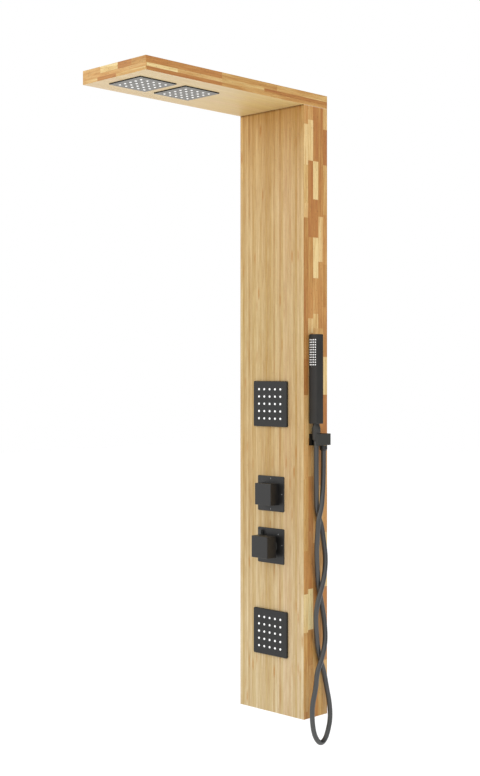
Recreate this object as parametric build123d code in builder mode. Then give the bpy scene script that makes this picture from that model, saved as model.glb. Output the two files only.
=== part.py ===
from build123d import *
import math
import os

# Bamboo shower panel, in millimetres.
# The origin is midway between the holes of the upper wall bracket, on the wall's face.
# X is to the right seen from the front, the wall is the plane Y = 0, and the front looks along -Y.

# Casing
panel_width = 215.0
column_depth = 85.0
column_height = 1480.0
arm_reach = 502.4
arm_thickness = 31.5
board = 9.0
edge_round = 1.0
bracket_below_arm = 150.0

# Wall brackets and the battens that hang on them
lower_bracket_height = 130.0
bracket_width = 160.0
bracket_steel = 3.0
bracket_below_hole = 17.0
bracket_hole_spacing = 100.0
bracket_hole = 7.0
bracket_lip = 12.0
bracket_bend = 2.0
batten_depth = 22.0
batten_height = 40.0
hook_gap = 0.4
bracket_ledge_height = 14.0

# Spray plates, shared by the body jets and the rain heads; fits and screws, shared by all
nozzle_rows = 5
nozzle_pitch = 18.0
nozzle_radius = 2.75
nozzle_sides = 8
nozzle_gap = 0.35
nozzle_proud = 1.3
spray_skin = 2.0
mat_thickness = 2.0
mat_gap = 0.3
plate_corner = 3.0
fit_gap = 0.15
clearance = 0.3
wood_screw_radius = 1.5
screw_head_radius = 3.2
screw_head_height = 1.6

# Body jets
upper_jet_above_diverter = 220.7
lower_jet_height = 195.5
jet_plate = 112.0
jet_plate_proud = 6.0
jet_plate_bevel = 1.5
jet_rim = 7.0
jet_cup_radius = 28.0
jet_cup_wall = 4.0
jet_cup_depth = 21.0
jet_hub_radius = 13.0
jet_hub_depth = 14.0
jet_nut_radius = 38.0
ring_nut_thickness = 7.0
board_hole_gap = 0.6

# Rain heads
head_from_nose = 84.8
head_spacing = 9.4
head_plate = 108.5
head_plate_proud = 2.5
head_plate_bevel = 1.0
head_lip = 4.25
head_skirt_wall = 2.0
head_skirt_gap = 1.0
head_flange_lip = 12.0
head_flange_thickness = 1.4
head_dome_width = 60.0
head_dome_length = 80.0
head_dome_gap = 0.9
head_chamber_wall = 4.0
head_chamber_height = 5.0
head_screw_inset = 5.0
head_screw_depth = 7.0

# Controls
mixer_height = 409.0
escutcheon_width = 88.0
escutcheon_height = 86.5
escutcheon_spacing = 41.5
escutcheon_thickness = 2.5
escutcheon_bevel = 0.8
boss_radius = 19.0
boss_depth = 20.0
boss_bore = 14.3
control_nut_radius = 27.0
valve_neck_length = 17.0
valve_hub_radius = 23.0
valve_hub_depth = 25.0
knob_size = 53.0
knob_round = 1.5
knob_wall = 4.0
knob_front_wall = 5.0
knob_hub_radius = 9.0
spindle_radius = 4.0
spindle_grip = 16.0
spindle_depth = 17.0
grub_radius = 2.0
grub_access_radius = 2.6
diverter_knob_thickness = 28.4
flow_knob_thickness = 31.2
ring_radius = 22.0
ring_thickness = 8.2
ring_step = 2.2
ring_gap = 0.9
sleeve_radius = 8.0
sleeve_bore = 4.4
sleeve_depth = 15.0
tab_left = 35.0
tab_width = 9.5
tab_top = 37.0
tab_bottom = 4.0
tab_round = 1.2

# Supply inlets, 1/2 inch pipe thread at the standard spacing
inlet_spacing = 150.0
inlet_thread_radius = 10.48
inlet_thread_length = 14.0
inlet_collar_radius = 13.0
inlet_arm_radius = 12.0
inlet_plane = -34.5
inlet_tip = -8.0

# Inner pipes
pipe_radius = 5.0
pipe_bore = 3.5
barb_length = 7.0
barb_gap = 0.1
barb_spacing = 2.0
port_depth = 28.0
port_shoulder = 7.0
head_port_reach = 6.0
tee_radius = 7.0
tee_reach = 14.0
jets_bend = 18.0
riser_bend = 20.0
rain_pipe_gap = 4.0
rain_pipe_shift = 40.0
rain_pipe_slant = 80.0
hand_pipe_inset = 27.5
hand_pipe_rise = 24.0
hand_bend = 16.0
passage_width = 60.0
passage_depth = 46.0

# Hand shower
stick = 24.4
stick_length = 215.7
stick_round = 1.5
stick_side_gap = 2.8
hand_axis_plane = -57.3
hand_rows = 11
hand_columns = 4
hand_row_pitch = 6.0
hand_first_row = 13.6
hand_nozzle_radius = 1.7
hand_nozzle_sides = 6
hand_nozzle_gap = 0.2
hand_nozzle_proud = 0.8
hand_skin = 1.5
hand_plate_edge = 1.5
hand_nozzle_edge = 2.3
hand_plate_margin = 6.0
hand_chamber_depth = 8.0
waterway_radius = 6.0
neck_radius = 6.9
neck_collar_radius = 7.6
neck_gap = 2.8
neck_thread = 12.0

# Hose nuts and hose
hose_radius = 6.0
nut_bore = 4.0
nut_lip = 0.6
cone_nut_top_radius = 8.0
cone_nut_radius = 10.4
cone_nut_shoulder = 8.5
cone_nut_taper = 1.0
cone_nut_seat_drop = 35.5
cone_nut_tail_radius = 8.0
cone_nut_tail = 4.0
outlet_nut_radius = 9.2
outlet_nut_length = 12.7
outlet_nut_cone = 4.0

# Holder for the hand shower, with the hose outlet in its rear half
holder_above_diverter = 136.2
holder_wall = 2.6
holder_front_reach = 9.2
holder_back_reach = 12.3
holder_drop = 14.0
holder_slot_gap = 0.4
holder_round = 1.0
outlet_spacing = 26.5
spigot_radius = 9.0
spigot_end = 8.5
spigot_inner_end = 6.5
spigot_port_drop = 15.0
lock_nut_radius = 13.0
nipple_radius = 7.0
nipple_pin_radius = 5.0
nipple_pin_length = 6.0
nipple_flange_radius = 8.4
nipple_flange = 1.0
nipple_thread = 6.5
holder_screw_depth = 7.5
holder_screw_offset = 10.0

# Places that follow from the sizes above: the casing
side_x = panel_width / 2
inner_x = side_x - board
front_y = -column_depth
column_inner_y = front_y + board
nose_y = front_y - arm_reach
arm_length = column_depth + arm_reach
arm_bottom = bracket_below_arm
arm_top = arm_bottom + arm_thickness
column_bottom = arm_bottom - column_height
bracket_places = (0.0, column_bottom + lower_bracket_height)

# The controls, one above the other, and the jets
mixer_z = column_bottom + mixer_height
diverter_z = mixer_z + escutcheon_height + escutcheon_spacing
upper_jet_z = diverter_z + upper_jet_above_diverter
lower_jet_z = column_bottom + lower_jet_height
jet_recess = jet_plate - 2 * jet_rim
ring_start = escutcheon_thickness + clearance
flow_knob_start = ring_start + ring_thickness + ring_gap

# The rain heads, from the nose backwards
head_skirt = head_plate - 2 * head_lip
head_flange = head_skirt + 2 * head_flange_lip
head_screw_spacing = head_flange - 2 * head_screw_inset
head_body_z = arm_bottom + board
arm_inside_height = arm_thickness - 2 * board
head_dome_height = arm_inside_height - head_flange_thickness - head_dome_gap
front_head_y = nose_y + head_from_nose
rear_head_y = front_head_y + head_flange + head_spacing

# The inner pipes
port_plane = front_y + port_depth
port_reach = valve_hub_radius + port_shoulder
jet_port_reach = jet_hub_radius + port_shoulder
jets_pipe_x = -(port_reach + 2 * barb_length + barb_spacing + tee_reach)
rain_pipe_plane = front_y + jet_cup_depth + jet_hub_depth + rain_pipe_gap + pipe_radius
rain_pipe_z = head_body_z + arm_inside_height / 2
hand_pipe_x = side_x - hand_pipe_inset

# The hand shower in its holder, and the hose outlet behind it
hand_axis_out = stick / 2 + stick_side_gap
hand_axis_x = side_x + hand_axis_out
holder_z = diverter_z + holder_above_diverter
holder_bottom_z = holder_z - holder_drop
holder_height = 2 * holder_drop
holder_out = hand_axis_out + cone_nut_radius + holder_wall
holder_front = hand_axis_plane - holder_front_reach
outlet_plane = hand_axis_plane + outlet_spacing
holder_back = outlet_plane + holder_back_reach
cone_nut_seat_radius = cone_nut_radius - cone_nut_taper
nut_end_radius = hose_radius + nut_lip
holder_slot = 2 * (nut_end_radius + holder_slot_gap)
cone_nut_seat_z = holder_z
cone_nut_top_z = cone_nut_seat_z + cone_nut_seat_drop
cone_nut_end_z = cone_nut_seat_z - cone_nut_tail
stick_bottom_z = cone_nut_top_z + neck_gap
stick_top_z = stick_bottom_z + stick_length
hand_plate_width = stick - 2 * hand_plate_edge
hand_column_pitch = (hand_plate_width - 2 * hand_nozzle_edge) / (hand_columns - 1)
nipple_flange_z = holder_bottom_z - nipple_flange
outlet_nut_end_z = nipple_flange_z - outlet_nut_length

os.makedirs("parts", exist_ok=True)


def save(shape, name):
    """Label one finished piece and write it as its own file."""
    shape.label = name
    export_step(shape, f"parts/{name}.step")


def front_at(z, out=0.0):
    """Plane parallel to the front board, looking at the user, a distance in front of it."""
    return Plane(origin=(0, front_y - out, z), x_dir=(1, 0, 0), z_dir=(0, -1, 0))


def cross_at(y, z, x=0.0):
    """Plane square to X."""
    return Plane(origin=(x, y, z), x_dir=(0, 1, 0), z_dir=(1, 0, 0))


def level_at(x, y, z):
    """Level plane that looks up."""
    return Plane(origin=(x, y, z), x_dir=(1, 0, 0), z_dir=(0, 0, 1))


# Casing boards, mitred along the edges where they meet

def mitred_board(face, width, height, left=0.0, right=0.0, bottom=0.0, top=0.0):
    """Board whose outer face lies on the plane; each named edge is cut back to its mitre."""
    with BuildPart() as made:
        with BuildSketch(face):
            Rectangle(width, height)
        with BuildSketch(face.offset(-board)):
            with Locations(((left - right) / 2, (bottom - top) / 2)):
                Rectangle(width - left - right, height - bottom - top)
        loft()
    return made.part


def column_envelope():
    """Outer block of the column with its long front edges eased."""
    with BuildPart() as block:
        with BuildSketch(level_at(0, front_y / 2, column_bottom)):
            Rectangle(panel_width, column_depth)
        extrude(amount=column_height)
        front_edges = block.edges().filter_by(Axis.Z).group_by(Axis.Y)[0]
        fillet(front_edges, edge_round)
    return block.part


def arm_envelope():
    """Outer block of the arm with its nose and long edges eased."""
    with BuildPart() as block:
        with BuildSketch(level_at(0, nose_y / 2, arm_bottom)):
            Rectangle(panel_width, arm_length)
        extrude(amount=arm_thickness)
        upright = block.edges().filter_by(Axis.Z).group_by(Axis.Y)[0]
        nose = block.edges().filter_by(Axis.X).group_by(Axis.Y)[0]
        long = block.edges().filter_by(Axis.Y)
        fillet(upright + nose + long, edge_round)
    return block.part


def make_column_boards():
    envelope = column_envelope()
    middle_z = (arm_bottom + column_bottom) / 2
    front_face = Plane(origin=(0, front_y, middle_z), x_dir=(1, 0, 0), z_dir=(0, -1, 0))
    right_face = Plane(origin=(side_x, front_y / 2, middle_z), x_dir=(0, 1, 0), z_dir=(1, 0, 0))
    left_face = Plane(origin=(-side_x, front_y / 2, middle_z), x_dir=(0, -1, 0), z_dir=(-1, 0, 0))

    with BuildPart() as front_board:
        add(mitred_board(front_face, panel_width, column_height, left=board, right=board))
        add(envelope, mode=Mode.INTERSECT)
        for z, radius in (
            (upper_jet_z, jet_cup_radius),
            (lower_jet_z, jet_cup_radius),
            (diverter_z, boss_radius),
            (mixer_z, boss_radius),
        ):
            with BuildSketch(front_at(z)):
                Circle(radius + board_hole_gap)
            extrude(amount=-board, mode=Mode.SUBTRACT)
    save(front_board.part, "front_board")

    with BuildPart() as left_side_board:
        add(mitred_board(left_face, column_depth, column_height, right=board))
        add(envelope, mode=Mode.INTERSECT)
    save(left_side_board.part, "left_side_board")

    with BuildPart() as right_side_board:
        add(mitred_board(right_face, column_depth, column_height, left=board))
        add(envelope, mode=Mode.INTERSECT)
        with BuildSketch(cross_at(outlet_plane, holder_z, side_x)):
            Circle(spigot_radius + clearance)
            with Locations(*holder_screw_places()):
                Circle(wood_screw_radius + fit_gap)
        extrude(amount=-board, mode=Mode.SUBTRACT)
    save(right_side_board.part, "right_side_board")

    with BuildPart() as bottom_board:
        with BuildSketch(level_at(0, column_inner_y / 2, column_bottom)):
            Rectangle(2 * inner_x, -column_inner_y)
        extrude(amount=board)
    save(bottom_board.part, "bottom_board")


def holder_screw_places():
    """Places of the two holder screws on a side plane centred on the hose outlet."""
    along = -outlet_spacing / 2
    return [(along, holder_screw_offset), (along, -holder_screw_offset)]


def make_arm_boards():
    envelope = arm_envelope()
    middle_z = (arm_bottom + arm_top) / 2
    middle_y = nose_y / 2
    top_face = Plane(origin=(0, middle_y, arm_top), x_dir=(1, 0, 0), z_dir=(0, 0, 1))
    soffit_face = Plane(origin=(0, middle_y, arm_bottom), x_dir=(-1, 0, 0), z_dir=(0, 0, -1))
    nose_face = Plane(origin=(0, nose_y, middle_z), x_dir=(1, 0, 0), z_dir=(0, -1, 0))
    right_face = Plane(origin=(side_x, middle_y, middle_z), x_dir=(0, 1, 0), z_dir=(1, 0, 0))
    left_face = Plane(origin=(-side_x, middle_y, middle_z), x_dir=(0, -1, 0), z_dir=(-1, 0, 0))

    with BuildPart() as top_board:
        add(mitred_board(top_face, panel_width, arm_length, board, board, bottom=board))
        add(envelope, mode=Mode.INTERSECT)
    save(top_board.part, "arm_top_board")

    with BuildPart() as soffit_board:
        add(mitred_board(soffit_face, panel_width, arm_length, board, board, bottom=board))
        add(envelope, mode=Mode.INTERSECT)
        for head_y in (front_head_y, rear_head_y):
            with BuildSketch(level_at(0, head_y, arm_bottom)):
                Rectangle(head_skirt + 2 * clearance, head_skirt + 2 * clearance)
            extrude(amount=board, mode=Mode.SUBTRACT)
            with BuildSketch(level_at(0, head_y, head_body_z)):
                with GridLocations(head_screw_spacing, head_screw_spacing, 2, 2):
                    Circle(wood_screw_radius + fit_gap)
            extrude(amount=-head_screw_depth, mode=Mode.SUBTRACT)
        with BuildSketch(level_at(0, rain_pipe_plane, arm_bottom)):
            RectangleRounded(passage_width, passage_depth, plate_corner)
        extrude(amount=board, mode=Mode.SUBTRACT)
    save(soffit_board.part, "arm_soffit_board")

    with BuildPart() as nose_board:
        add(mitred_board(nose_face, panel_width, arm_thickness, board, board, board, board))
        add(envelope, mode=Mode.INTERSECT)
    save(nose_board.part, "arm_nose_board")

    with BuildPart() as right_rail:
        add(mitred_board(right_face, arm_length, arm_thickness, board, 0, board, board))
        add(envelope, mode=Mode.INTERSECT)
    save(right_rail.part, "arm_right_rail")

    with BuildPart() as left_rail:
        add(mitred_board(left_face, arm_length, arm_thickness, 0, board, board, board))
        add(envelope, mode=Mode.INTERSECT)
    save(left_rail.part, "arm_left_rail")

    with BuildPart() as back_rail:
        with BuildSketch(level_at(0, -board / 2, arm_bottom + board)):
            Rectangle(2 * inner_x, board)
        extrude(amount=arm_thickness - 2 * board)
    save(back_rail.part, "arm_back_rail")


def make_hangers():
    """Two battens across the column and the bent steel brackets that they hook onto."""
    with BuildPart() as battens:
        for z in bracket_places:
            with BuildSketch(level_at(0, -batten_depth / 2, z + bracket_ledge_height)):
                Rectangle(2 * inner_x, batten_depth)
            extrude(amount=batten_height)
    save(battens.part, "cross_battens")

    lip_y = -(batten_depth + hook_gap)
    ledge_z = bracket_ledge_height
    with BuildPart() as brackets:
        for z in bracket_places:
            with BuildSketch(Plane(origin=(0, 0, z), x_dir=(0, 1, 0), z_dir=(1, 0, 0))) as hook:
                with BuildLine():
                    Polyline(
                        (0, -bracket_below_hole),
                        (0, ledge_z),
                        (lip_y, ledge_z),
                        (lip_y, ledge_z + bracket_lip),
                        (lip_y - bracket_steel, ledge_z + bracket_lip),
                        (lip_y - bracket_steel, ledge_z - bracket_steel),
                        (-bracket_steel, ledge_z - bracket_steel),
                        (-bracket_steel, -bracket_below_hole),
                        close=True,
                    )
                make_face()
                outer_bend = hook.vertices().group_by(Axis.Y)[0].sort_by(Axis.Z)[0]
                fillet(outer_bend, bracket_bend)
            extrude(amount=bracket_width / 2, both=True)
            with BuildSketch(Plane(origin=(0, 0, z), x_dir=(1, 0, 0), z_dir=(0, -1, 0))):
                with GridLocations(bracket_hole_spacing, 0, 2, 1):
                    Circle(bracket_hole / 2)
            extrude(amount=bracket_steel, mode=Mode.SUBTRACT)
    save(brackets.part, "wall_brackets")


# Spray plates with rubber nozzles

def make_jet(name, z):
    """Square body jet: face plate, nozzle mat and the threaded cup behind the board."""
    recess_depth = jet_plate_proud - spray_skin
    flange_thickness = recess_depth - mat_thickness

    with BuildPart() as face:
        with BuildSketch(front_at(z)):
            RectangleRounded(jet_plate, jet_plate, plate_corner)
        extrude(amount=jet_plate_proud)
        chamfer(face.faces().sort_by(Axis.Y)[0].edges(), length=jet_plate_bevel)
        with BuildSketch(front_at(z)):
            Rectangle(jet_recess, jet_recess)
        extrude(amount=recess_depth, mode=Mode.SUBTRACT)
        with BuildSketch(front_at(z)):
            with GridLocations(nozzle_pitch, nozzle_pitch, nozzle_rows, nozzle_rows):
                RegularPolygon(nozzle_radius + nozzle_gap, nozzle_sides)
        extrude(amount=jet_plate_proud, mode=Mode.SUBTRACT)
    save(face.part, f"{name}_face")

    with BuildPart() as nozzles:
        with BuildSketch(front_at(z, flange_thickness)):
            Rectangle(jet_recess - 2 * mat_gap, jet_recess - 2 * mat_gap)
        extrude(amount=mat_thickness)
        with BuildSketch(front_at(z, recess_depth)):
            with GridLocations(nozzle_pitch, nozzle_pitch, nozzle_rows, nozzle_rows):
                RegularPolygon(nozzle_radius, nozzle_sides)
        extrude(amount=spray_skin + nozzle_proud)
    save(nozzles.part, f"{name}_nozzles")

    with BuildPart() as body:
        with BuildSketch(front_at(z)):
            Rectangle(jet_recess - 2 * mat_gap, jet_recess - 2 * mat_gap)
        extrude(amount=flange_thickness)
        with BuildSketch(front_at(z)):
            Circle(jet_cup_radius)
        extrude(amount=-jet_cup_depth)
        with BuildSketch(front_at(z, -jet_cup_depth)):
            Circle(jet_hub_radius)
        extrude(amount=-jet_hub_depth)
        with BuildSketch(front_at(z, flange_thickness)):
            Circle(jet_cup_radius - jet_cup_wall)
        extrude(amount=jet_cup_wall - jet_cup_depth, mode=Mode.SUBTRACT)
        add(pipe_port(port_plane_at(z, (-1, 0, 0)), jet_port_reach))
    save(body.part, f"{name}_body")


def pipe_port(plane, reach):
    """Pipe shoulder and barb that stand on a hub, outward along the plane's normal."""
    with BuildPart() as port:
        with BuildSketch(plane):
            Circle(pipe_radius)
        extrude(amount=reach)
        with BuildSketch(plane.offset(reach)):
            Circle(pipe_bore - barb_gap)
        extrude(amount=barb_length)
    return port.part


def make_ring_nuts(name, places, radius, bore):
    """Hexagonal ring nuts that clamp a fitting behind the front board."""
    with BuildPart() as nuts:
        for z in places:
            with BuildSketch(front_at(z, -board)):
                RegularPolygon(radius, 6)
                Circle(bore + fit_gap, mode=Mode.SUBTRACT)
            extrude(amount=-ring_nut_thickness)
    save(nuts.part, name)


def make_rain_head(name, y, linked):
    """Flat rain head: face with a skirt through the soffit, nozzle mat and low water box."""
    face_bottom = arm_bottom - head_plate_proud
    mat_bottom = face_bottom + spray_skin
    mat_top = mat_bottom + mat_thickness
    inside = head_skirt - 2 * head_skirt_wall
    box = inside - 2 * mat_gap
    chamber = inside - 2 * head_chamber_wall
    skirt_height = board - head_skirt_gap
    port_y = head_dome_length / 2

    with BuildPart() as face:
        with BuildSketch(level_at(0, y, face_bottom)):
            RectangleRounded(head_plate, head_plate, plate_corner)
        extrude(amount=head_plate_proud)
        chamfer(face.faces().sort_by(Axis.Z)[0].edges(), length=head_plate_bevel)
        with BuildSketch(level_at(0, y, arm_bottom)):
            Rectangle(head_skirt, head_skirt)
        extrude(amount=skirt_height)
        with BuildSketch(level_at(0, y, mat_bottom)):
            Rectangle(inside, inside)
        extrude(amount=head_plate_proud + skirt_height, mode=Mode.SUBTRACT)
        with BuildSketch(level_at(0, y, face_bottom)):
            with GridLocations(nozzle_pitch, nozzle_pitch, nozzle_rows, nozzle_rows):
                RegularPolygon(nozzle_radius + nozzle_gap, nozzle_sides)
        extrude(amount=spray_skin, mode=Mode.SUBTRACT)
    save(face.part, f"{name}_face")

    with BuildPart() as nozzles:
        with BuildSketch(level_at(0, y, mat_bottom)):
            Rectangle(box, box)
        extrude(amount=mat_thickness)
        with BuildSketch(level_at(0, y, mat_bottom)):
            with GridLocations(nozzle_pitch, nozzle_pitch, nozzle_rows, nozzle_rows):
                RegularPolygon(nozzle_radius, nozzle_sides)
        extrude(amount=-(spray_skin + nozzle_proud))
    save(nozzles.part, f"{name}_nozzles")

    with BuildPart() as body:
        with BuildSketch(level_at(0, y, mat_top)):
            Rectangle(box, box)
        extrude(amount=head_body_z - mat_top)
        with BuildSketch(level_at(0, y, head_body_z)):
            RectangleRounded(head_flange, head_flange, plate_corner)
        extrude(amount=head_flange_thickness)
        with BuildSketch(level_at(0, y, head_body_z + head_flange_thickness)):
            RectangleRounded(head_dome_width, head_dome_length, plate_corner)
        extrude(amount=head_dome_height)
        with BuildSketch(level_at(0, y, mat_top)):
            Rectangle(chamber, chamber)
        extrude(amount=head_chamber_height, mode=Mode.SUBTRACT)
        with BuildSketch(level_at(0, y, head_body_z)):
            with GridLocations(head_screw_spacing, head_screw_spacing, 2, 2):
                Circle(wood_screw_radius + fit_gap)
        extrude(amount=head_flange_thickness, mode=Mode.SUBTRACT)
        for direction in (1, -1) if linked else (1,):
            port = Plane(origin=(0, y + direction * port_y, rain_pipe_z), z_dir=(0, direction, 0))
            notch_length = head_flange / 2 - port_y
            with BuildSketch(level_at(0, y + direction * (port_y + notch_length / 2), head_body_z)):
                Rectangle(2 * (pipe_radius + clearance), notch_length)
            extrude(amount=head_flange_thickness, mode=Mode.SUBTRACT)
            add(pipe_port(port, head_port_reach))
    save(body.part, f"{name}_body")


def make_head_screws():
    screw_top = head_body_z + head_flange_thickness
    shank = head_screw_depth + head_flange_thickness - clearance
    with BuildPart() as screws:
        for head_y in (front_head_y, rear_head_y):
            with BuildSketch(level_at(0, head_y, screw_top)):
                with GridLocations(head_screw_spacing, head_screw_spacing, 2, 2):
                    Circle(screw_head_radius)
            extrude(amount=screw_head_height)
            with BuildSketch(level_at(0, head_y, screw_top)):
                with GridLocations(head_screw_spacing, head_screw_spacing, 2, 2):
                    Circle(wood_screw_radius)
            extrude(amount=-shank)
    save(screws.part, "rain_head_screws")


# Controls

def make_escutcheon(name, z):
    """Thin square plate with a threaded boss through the board."""
    with BuildPart() as plate:
        with BuildSketch(front_at(z)):
            RectangleRounded(escutcheon_width, escutcheon_height, plate_corner)
        extrude(amount=escutcheon_thickness)
        chamfer(plate.faces().sort_by(Axis.Y)[0].edges(), length=escutcheon_bevel)
        with BuildSketch(front_at(z)):
            Circle(boss_radius)
        extrude(amount=-boss_depth)
        with BuildSketch(front_at(z, escutcheon_thickness)):
            Circle(boss_bore)
        extrude(amount=-(boss_depth + escutcheon_thickness), mode=Mode.SUBTRACT)
    save(plate.part, name)


def make_knob(name, z, start, thickness):
    """Hollow square knob with a hub for the spindle and a hole for its grub screw."""
    cavity = knob_size - 2 * knob_wall
    cavity_depth = thickness - knob_front_wall
    grub_place = start + spindle_grip / 2
    with BuildPart() as knob:
        with BuildSketch(front_at(z, start)):
            Rectangle(knob_size, knob_size)
        extrude(amount=thickness)
        back = knob.faces().sort_by(Axis.Y)[-1]
        rounded = knob.edges() - back.edges()
        fillet(rounded, knob_round)
        with BuildSketch(front_at(z, start)):
            Rectangle(cavity, cavity)
            Circle(knob_hub_radius, mode=Mode.SUBTRACT)
        extrude(amount=cavity_depth, mode=Mode.SUBTRACT)
        with BuildSketch(front_at(z, start)):
            Circle(spindle_radius + fit_gap)
        extrude(amount=spindle_grip, mode=Mode.SUBTRACT)
        below = Plane(origin=(0, front_y - grub_place, z), x_dir=(1, 0, 0), z_dir=(0, 0, -1))
        with BuildSketch(below):
            Circle(grub_radius + fit_gap)
        extrude(amount=knob_size / 2, mode=Mode.SUBTRACT)
        with BuildSketch(below.offset(cavity / 2)):
            Circle(grub_access_radius)
        extrude(amount=knob_wall, mode=Mode.SUBTRACT)
    save(knob.part, name)

    with BuildPart() as screw:
        with BuildSketch(below.offset(spindle_radius)):
            Circle(grub_radius)
        extrude(amount=knob_hub_radius - spindle_radius)
        with BuildSketch(below.offset(knob_hub_radius)):
            RegularPolygon(grub_radius / 2, 6)
        extrude(amount=-grub_radius, mode=Mode.SUBTRACT)
    save(screw.part, f"{name}_screw")


def make_spindle(name, z, start):
    """Turned spindle from inside the valve to the bottom of the knob's bore."""
    with BuildPart() as spindle:
        with BuildSketch(front_at(z, -spindle_depth)):
            Circle(spindle_radius)
        extrude(amount=spindle_depth + start + spindle_grip)
        flat = front_at(z, start)
        with BuildSketch(flat):
            with Locations((0, -spindle_radius)):
                Rectangle(2 * spindle_radius, grub_radius / 2)
        extrude(amount=spindle_grip, mode=Mode.SUBTRACT)
    save(spindle.part, name)


def valve_hub(z, bore_radius, depth):
    """Brass hub behind the board with a neck up into the escutcheon's boss."""
    with BuildPart() as hub:
        with BuildSketch(front_at(z, -boss_depth)):
            Circle(valve_hub_radius)
        extrude(amount=-depth)
        with BuildSketch(front_at(z, -boss_depth)):
            Circle(boss_bore - fit_gap)
        extrude(amount=valve_neck_length)
        with BuildSketch(front_at(z)):
            Circle(bore_radius + clearance)
        extrude(amount=-(spindle_depth + clearance), mode=Mode.SUBTRACT)
    return hub.part


def port_plane_at(z, direction):
    """Plane of a pipe port on a valve, with its normal along the given direction."""
    sideways = (0, 1, 0)
    return Plane(origin=(0, port_plane, z), x_dir=sideways, z_dir=direction)


def make_diverter():
    make_escutcheon("diverter_escutcheon", diverter_z)
    with BuildPart() as valve:
        add(valve_hub(diverter_z, spindle_radius, valve_hub_depth))
        for direction in ((0, 0, 1), (0, 0, -1), (1, 0, 0), (-1, 0, 0)):
            add(hub_port(diverter_z, direction))
    save(valve.part, "diverter_valve")
    make_spindle("diverter_spindle", diverter_z, ring_start)
    make_knob("diverter_knob", diverter_z, ring_start, diverter_knob_thickness)


def hub_port(z, direction):
    """Port that starts just inside the hub's wall, so that it leaves the spindle's bore alone."""
    inset = valve_hub_radius / 2 + spindle_radius
    plane = port_plane_at(z, direction).offset(inset)
    return pipe_port(plane, port_reach - inset)


def make_mixer():
    make_escutcheon("mixer_escutcheon", mixer_z)
    collar_start = inlet_plane - inlet_collar_radius
    collar_end = inlet_tip - inlet_thread_length
    with BuildPart() as valve:
        add(valve_hub(mixer_z, sleeve_radius, inlet_plane - front_y - boss_depth))
        with BuildSketch(cross_at(inlet_plane, mixer_z)):
            Circle(inlet_arm_radius)
        extrude(amount=inlet_spacing / 2, both=True)
        for inlet_x in (-inlet_spacing / 2, inlet_spacing / 2):
            with BuildSketch(Plane(origin=(inlet_x, collar_start, mixer_z), z_dir=(0, 1, 0))):
                Circle(inlet_collar_radius)
            extrude(amount=collar_end - collar_start)
            with BuildSketch(Plane(origin=(inlet_x, collar_end, mixer_z), z_dir=(0, 1, 0))):
                Circle(inlet_thread_radius)
            extrude(amount=inlet_thread_length)
        add(hub_port(mixer_z, (0, 0, 1)))
    save(valve.part, "mixer_valve")

    with BuildPart() as sleeve:
        with BuildSketch(front_at(mixer_z, -sleeve_depth)):
            Circle(sleeve_radius)
            Circle(sleeve_bore, mode=Mode.SUBTRACT)
        extrude(amount=sleeve_depth + ring_start + ring_thickness - ring_step)
    save(sleeve.part, "temperature_sleeve")

    with BuildPart() as ring:
        with BuildSketch(front_at(mixer_z, ring_start)) as outline:
            Circle(ring_radius)
            with Locations((-tab_left + tab_width / 2, (tab_top + tab_bottom) / 2)):
                Rectangle(tab_width, tab_top - tab_bottom)
            with BuildLine():
                Polyline(
                    (-tab_left, tab_bottom),
                    (-tab_left, tab_bottom + tab_width),
                    (0, ring_radius - tab_width / 2),
                    (0, 0),
                    close=True,
                )
            make_face()
            corners = outline.vertices().group_by(Axis.X)[0]
            fillet(corners, tab_round)
        extrude(amount=ring_thickness)
        with BuildSketch(front_at(mixer_z, ring_start)):
            Circle(sleeve_radius + fit_gap)
        extrude(amount=ring_thickness - ring_step, mode=Mode.SUBTRACT)
        with BuildSketch(front_at(mixer_z, ring_start)):
            Circle(spindle_radius + clearance)
        extrude(amount=ring_thickness, mode=Mode.SUBTRACT)
    save(ring.part, "temperature_ring")

    make_spindle("mixer_spindle", mixer_z, flow_knob_start)
    make_knob("flow_knob", mixer_z, flow_knob_start, flow_knob_thickness)


# Inner pipes

def bend_radius(points, index, share=0.45):
    """Largest comfortable arc at a corner of a route."""
    before = points[index] - points[index - 1]
    after = points[index + 1] - points[index]
    half_turn = math.radians(before.get_angle(after)) / 2
    return share * min(before.length, after.length) / math.tan(half_turn)


def make_pipe(name, route, bend):
    """Bent pipe; no arc is larger than its two runs allow."""
    points = [Vector(*place) for place in route]
    radii = [min(bend, bend_radius(points, index)) for index in range(1, len(points) - 1)]
    with BuildPart() as pipe:
        with BuildLine() as path:
            if radii:
                FilletPolyline(*points, radius=radii)
            else:
                Line(*points)
        start = Plane(origin=path.line @ 0, z_dir=path.line % 0)
        with BuildSketch(start):
            Circle(pipe_radius)
            Circle(pipe_bore, mode=Mode.SUBTRACT)
        sweep()
    save(pipe.part, name)


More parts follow.
